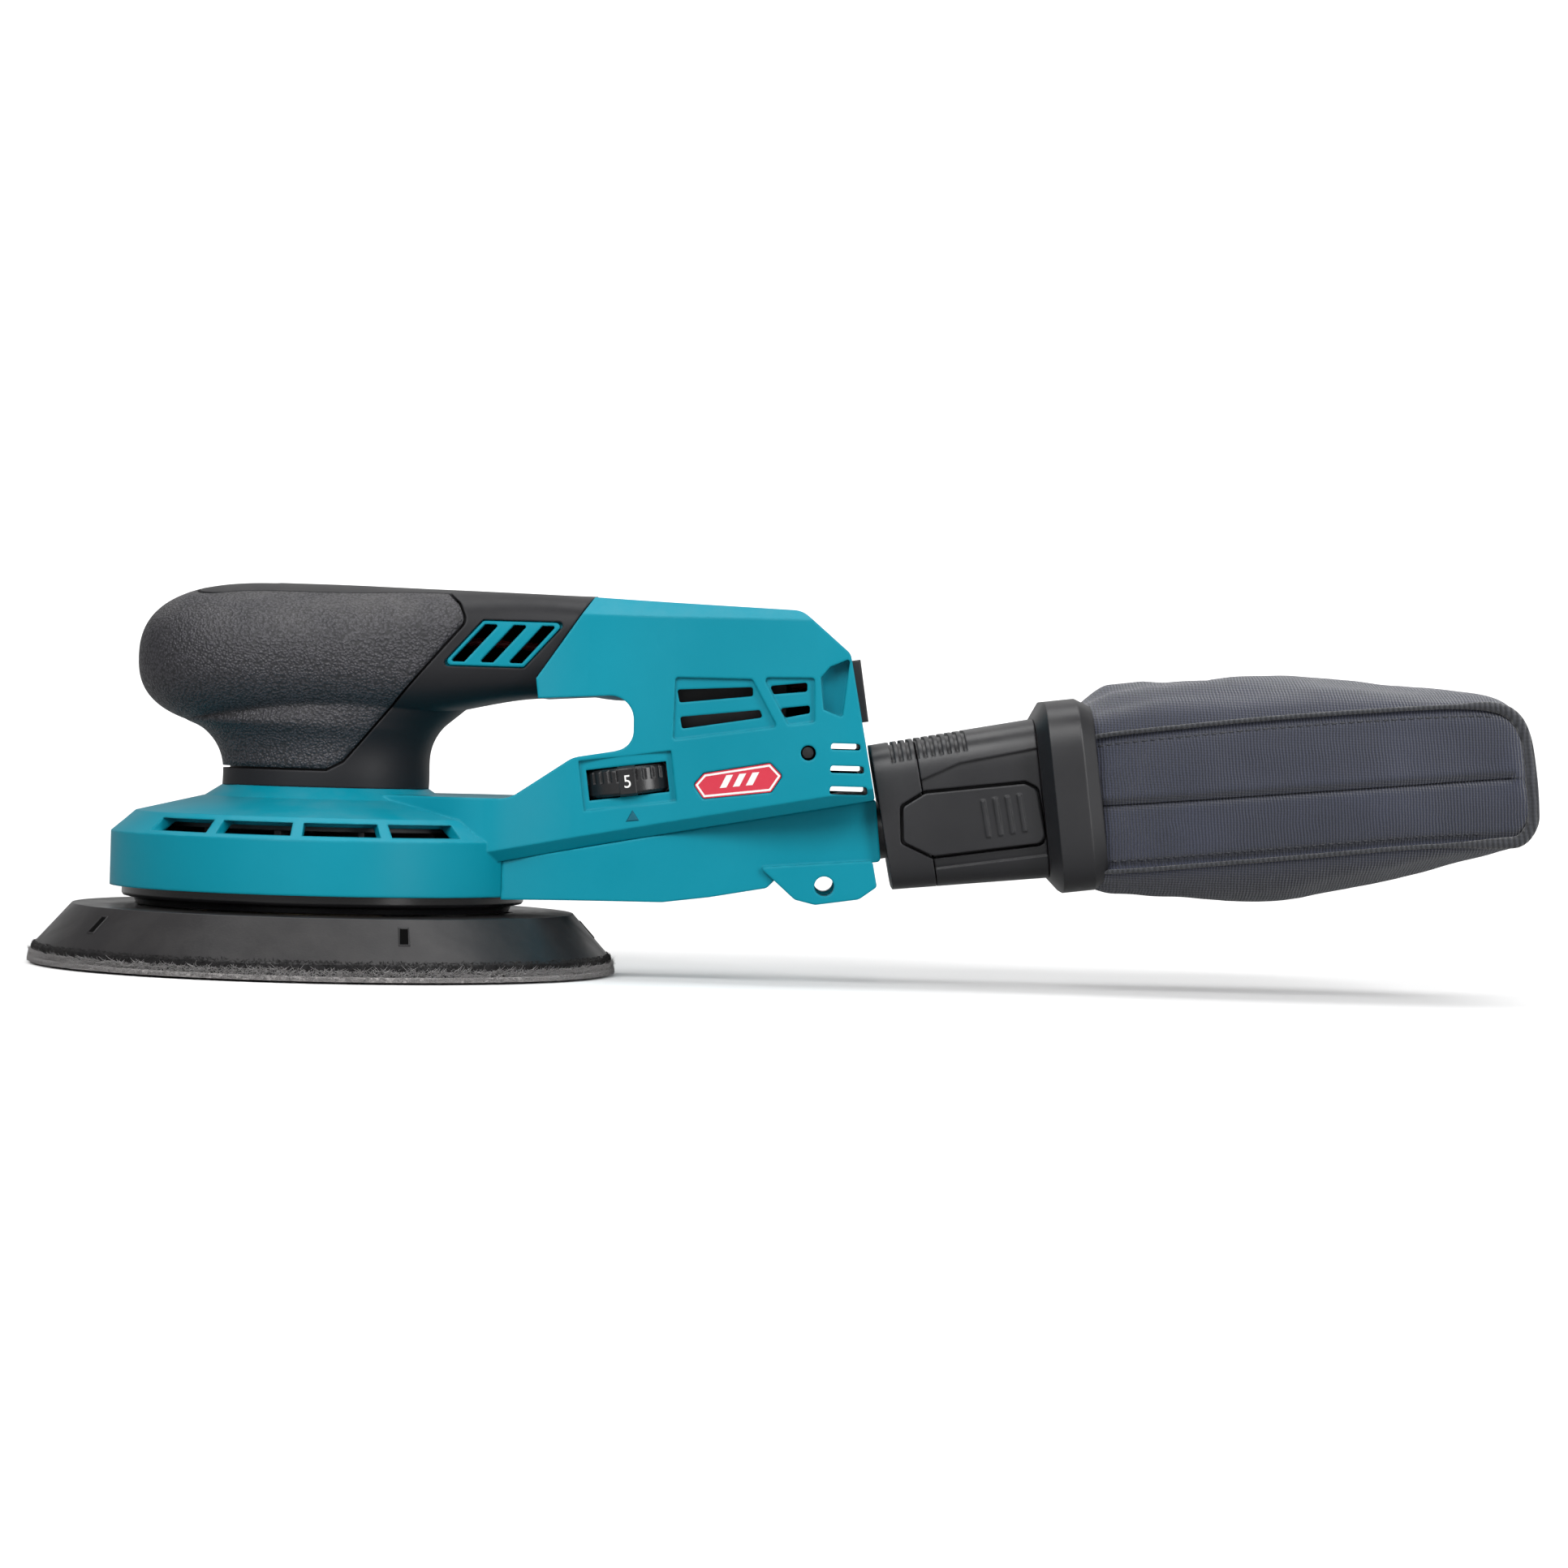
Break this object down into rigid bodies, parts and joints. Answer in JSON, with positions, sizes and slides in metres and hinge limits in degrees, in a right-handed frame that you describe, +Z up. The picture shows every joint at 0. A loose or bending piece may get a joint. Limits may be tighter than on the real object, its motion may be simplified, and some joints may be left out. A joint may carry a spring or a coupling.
{
  "type": "random orbital sander",
  "caption": "Cordless random orbital sander: round abrasive pad, palm grip with looped handle, speed dial, and a clip-on dust bag.",
  "frame": {"origin": "where the motor's axis meets the working face of the abrasive disc", "axes": "+X towards the dust bag, +Z up along the motor's axis, -Y is the tool's left side with the speed dial"},
  "size_m": [0.3859, 0.15, 0.0985],
  "materials": {
    "teal_moulding": "satin injection moulding",
    "black_moulding": "satin black",
    "grip_elastomer": "leather-grained soft grip",
    "black_rubber": "semi-gloss rubber",
    "steel": "turned steel",
    "cast_aluminium": "die cast",
    "brass_weight": "turned brass",
    "copper_wire": "enamelled copper",
    "magnet_plating": "nickel plated",
    "hard_plastic_grey": "glass-filled nylon",
    "hook_fabric": "hook fastening",
    "abrasive": "coated abrasive on loop backing",
    "bag_cloth": "ribbed filter cloth",
    "red_badge": "red label",
    "circuit_board": "circuit board",
    "wire_insulation": "silicone insulation"
  },
  "bodies": {
    "housing": {"housing_left": "teal_moulding", "housing_right": "teal_moulding", "palm_grip_left": "grip_elastomer", "palm_grip_right": "grip_elastomer", "handle_cover_left": "black_moulding", "handle_cover_right": "black_moulding", "side_badge": "red_badge", "housing_screws": "steel", "brake_ring": "black_rubber", "dust_duct": "teal_moulding", "dust_nozzle": "black_moulding", "bearing_bracket": "cast_aluminium", "lower_bearing": "steel", "upper_bearing": "steel", "motor_can": "steel", "motor_cap": "cast_aluminium", "stator_core": "steel", "windings": "copper_wire", "position_sensor_board": "circuit_board", "switch_unit": "black_moulding", "controller": "black_moulding", "dial_potentiometer": "black_moulding", "terminal_block": "black_moulding", "terminal_blades": "brass_weight", "motor_leads": "wire_insulation", "battery_leads": "wire_insulation"},
    "rotor": {"motor_shaft": "steel", "rotor_core": "steel", "rotor_magnets": "magnet_plating", "dust_fan": "hard_plastic_grey", "eccentric_hub": "cast_aluminium", "counterweight": "brass_weight", "pad_bearing": "steel"},
    "pad": {"pad_spindle": "steel", "pad_hub_plate": "hard_plastic_grey", "pad_washer": "steel", "pad_bolt": "steel", "pad_cushion": "black_rubber", "hook_layer": "hook_fabric", "abrasive_disc": "abrasive"},
    "dial": {"speed_dial": "black_moulding"},
    "power_button": {"power_button": "black_moulding"},
    "bag_unit": {"adapter_front": "black_moulding", "adapter_rear": "black_moulding", "nozzle_seal": "black_rubber", "latch_spring_left": "steel", "latch_spring_right": "steel", "bag_collar": "black_moulding", "clamp_ring": "black_moulding", "dust_bag": "bag_cloth"},
    "latch_left": {"latch_left": "black_moulding"},
    "latch_right": {"latch_right": "black_moulding"}
  },
  "joints": [
    {"name": "rotor_spin", "type": "hinge", "parent": "housing", "child": "rotor", "pos_m": [0, 0, 0.06], "axis": [0, 0, 1], "continuous": true},
    {"name": "pad_spin", "type": "hinge", "parent": "rotor", "child": "pad", "pos_m": [0, 0.0025, 0.022], "axis": [0, 0, 1], "continuous": true},
    {"name": "dial_turn", "type": "hinge", "parent": "housing", "child": "dial", "pos_m": [0.0786, -0.0125, 0.0502], "axis": [-0.1392, 0, 0.9903], "range_deg": [-240, 0]},
    {"name": "power_button_press", "type": "slide", "parent": "housing", "child": "power_button", "axis": [0, 0, -1], "range_m": [0, 0.0012], "stiffness_N_per_m": 900, "springref_m": -0.0008},
    {"name": "bag_slide", "type": "slide", "parent": "housing", "child": "bag_unit", "axis": [0.9823, 0, 0.1874], "range_m": [0, 0.03]},
    {"name": "latch_left_press", "type": "slide", "parent": "bag_unit", "child": "latch_left", "axis": [0, 1, 0], "range_m": [0, 0.0024], "stiffness_N_per_m": 1200, "springref_m": -0.001},
    {"name": "latch_right_press", "type": "slide", "parent": "bag_unit", "child": "latch_right", "axis": [0, -1, 0], "range_m": [0, 0.0024], "stiffness_N_per_m": 1200, "springref_m": -0.001}
  ]
}
